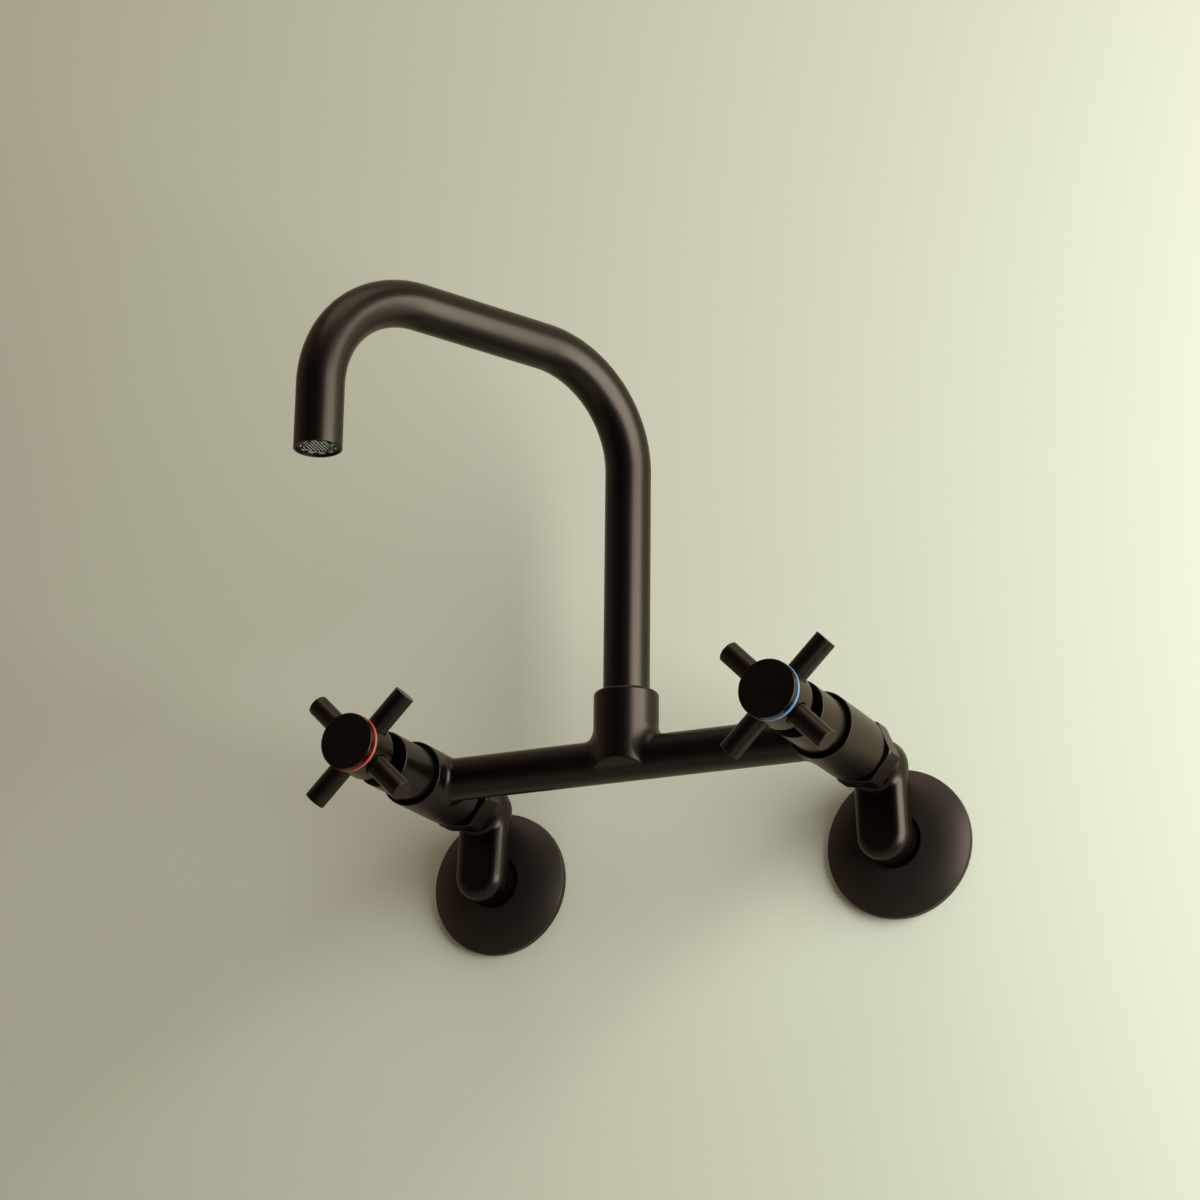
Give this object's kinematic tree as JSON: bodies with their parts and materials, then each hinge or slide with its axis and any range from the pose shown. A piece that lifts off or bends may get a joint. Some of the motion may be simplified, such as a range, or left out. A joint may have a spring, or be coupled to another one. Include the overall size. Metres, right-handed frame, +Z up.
{
  "type": "two-handle kitchen faucet",
  "caption": "Wall-mounted bridge kitchen faucet with cross handles, a swivelling gooseneck spout of square-bent tube, and hollow swing arms with round wall flanges.",
  "frame": {"origin": "on the wall face, midway between the two inlets and level with them", "axes": "+X along the wall towards the cold side, +Y into the wall, +Z up; the user stands at -Y"},
  "size_m": [0.2756, 0.2431, 0.2675],
  "materials": {
    "bronze": "satin dark oil-rubbed bronze coating on brass",
    "bare_brass": "machined brass",
    "steel": "stainless steel",
    "rubber": "black nitrile rubber",
    "light_plastic": "light grey acetal",
    "ceramic": "lapped alumina ceramic",
    "red": "red plastic",
    "blue": "blue plastic"
  },
  "bodies": {
    "bridge": {"bridge_body": "bronze", "spout_slip_ring": "light_plastic", "spout_lock_screw": "steel", "hot_union_nut": "bronze", "hot_union_washer": "rubber", "hot_seat_seal": "rubber", "hot_fixed_disc": "ceramic", "hot_cartridge_body": "bare_brass", "hot_bonnet_sleeve": "bronze", "cold_union_nut": "bronze", "cold_union_washer": "rubber", "cold_seat_seal": "rubber", "cold_fixed_disc": "ceramic", "cold_cartridge_body": "bare_brass", "cold_bonnet_sleeve": "bronze"},
    "hot_handle": {"hot_turning_disc": "ceramic", "hot_stem": "bare_brass", "hot_handle_hub": "bronze", "hot_lever_1": "bronze", "hot_lever_2": "bronze", "hot_lever_3": "bronze", "hot_lever_4": "bronze", "hot_index_ring": "red", "hot_handle_screw": "steel", "hot_handle_cap": "bronze"},
    "cold_handle": {"cold_turning_disc": "ceramic", "cold_stem": "bare_brass", "cold_handle_hub": "bronze", "cold_lever_1": "bronze", "cold_lever_2": "bronze", "cold_lever_3": "bronze", "cold_lever_4": "bronze", "cold_index_ring": "blue", "cold_handle_screw": "steel", "cold_handle_cap": "bronze"},
    "hot_arm": {"hot_swing_arm": "bronze", "hot_wall_flange": "bronze", "hot_flange_seal": "rubber", "hot_snap_ring": "steel"},
    "cold_arm": {"cold_swing_arm": "bronze", "cold_wall_flange": "bronze", "cold_flange_seal": "rubber", "cold_snap_ring": "steel"},
    "spout": {"spout_tube": "bronze", "spout_ferrule": "bare_brass", "spout_seal_lower": "rubber", "spout_seal_upper": "rubber", "outlet_bush": "bare_brass", "aerator_insert": "light_plastic", "aerator_screen": "light_plastic", "outlet_washer": "rubber"}
  },
  "joints": [
    {"name": "spout_swivel", "type": "hinge", "parent": "bridge", "child": "spout", "pos_m": [0, -0.0785, 0.03197], "axis": [0, 0, 1], "range_deg": [-83.5, 136.5]},
    {"name": "hot_handle_turn", "type": "hinge", "parent": "bridge", "child": "hot_handle", "pos_m": [-0.1016, -0.1444, 0.03197], "axis": [0, -1, 0], "range_deg": [0, 90]},
    {"name": "cold_handle_turn", "type": "hinge", "parent": "bridge", "child": "cold_handle", "pos_m": [0.1016, -0.1444, 0.03197], "axis": [0, 1, 0], "range_deg": [0, 90]},
    {"name": "hot_arm_swing", "type": "hinge", "parent": "bridge", "child": "hot_arm", "pos_m": [-0.1016, -0.0446, 0.03197], "axis": [0, 1, 0], "range_deg": [-92.5, 87.5]},
    {"name": "cold_arm_swing", "type": "hinge", "parent": "bridge", "child": "cold_arm", "pos_m": [0.1016, -0.0446, 0.03197], "axis": [0, -1, 0], "range_deg": [-92.5, 87.5]}
  ]
}
